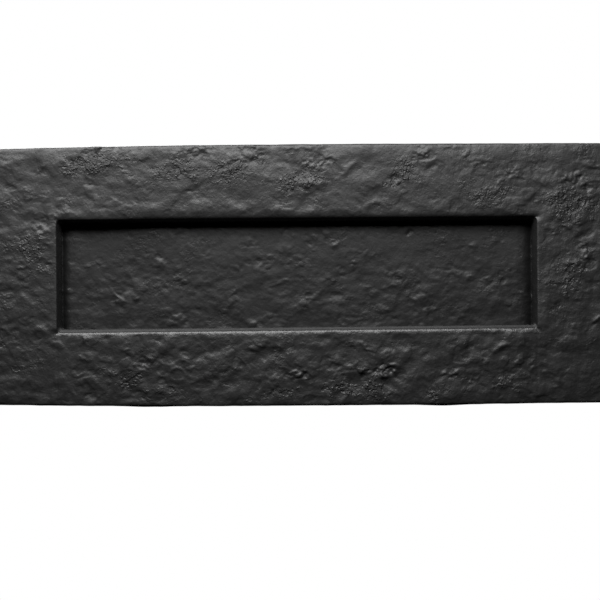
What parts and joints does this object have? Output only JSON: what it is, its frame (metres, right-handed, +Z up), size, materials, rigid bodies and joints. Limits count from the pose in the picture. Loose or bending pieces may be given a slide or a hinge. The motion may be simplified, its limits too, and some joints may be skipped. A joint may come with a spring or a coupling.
{
  "type": "letter plate",
  "caption": "Rectangular cast-iron letter plate with a sprung inward-opening flap hinged on a rod behind its upper edge, held through the door by studs and dome nuts.",
  "frame": {"origin": "middle of the plate on the door's outer face, midway between the two fixing studs", "axes": "+X to the right along the plate's length and +Z up, both seen from the street; +Y into the door, along the studs, so the decorated face looks along -Y"},
  "size_m": [0.265, 0.0676, 0.11],
  "materials": {
    "plate_iron": "satin black wax over rough hand-cast relief",
    "flap_iron": "satin black wax over softly dented cast iron",
    "rod_steel": "drawn bright steel",
    "bracket_steel": "bright zinc plate",
    "screw_steel": "bright zinc plate",
    "washer_brass": "satin, slightly tarnished",
    "spring_steel": "drawn stainless wire",
    "clip_steel": "black phosphate",
    "stud_steel": "bright zinc plate",
    "door_washer_steel": "satin black",
    "nut_steel": "satin black"
  },
  "bodies": {
    "frame": {"face_plate": "plate_iron", "hinge_rod": "rod_steel", "left_hinge_bracket": "bracket_steel", "right_hinge_bracket": "bracket_steel", "left_inner_bracket_screw": "screw_steel", "right_inner_bracket_screw": "screw_steel", "left_outer_bracket_screw": "screw_steel", "right_outer_bracket_screw": "screw_steel", "left_thrust_washer": "washer_brass", "right_thrust_washer": "washer_brass", "left_torsion_spring": "spring_steel", "right_torsion_spring": "spring_steel", "left_rod_clip": "clip_steel", "right_rod_clip": "clip_steel", "left_fixing_stud": "stud_steel", "right_fixing_stud": "stud_steel", "left_door_washer": "door_washer_steel", "right_door_washer": "door_washer_steel", "left_dome_nut": "nut_steel", "right_dome_nut": "nut_steel"},
    "flap": {"flap": "flap_iron"}
  },
  "joints": [
    {"name": "flap_hinge", "type": "hinge", "parent": "frame", "child": "flap", "pos_m": [0, 0.0045, 0.033], "axis": [1, 0, 0], "range_deg": [0, 85], "stiffness_Nm_per_rad": 0.057, "springref_deg": -57.3, "deforming": ["left_torsion_spring", "right_torsion_spring"]}
  ]
}
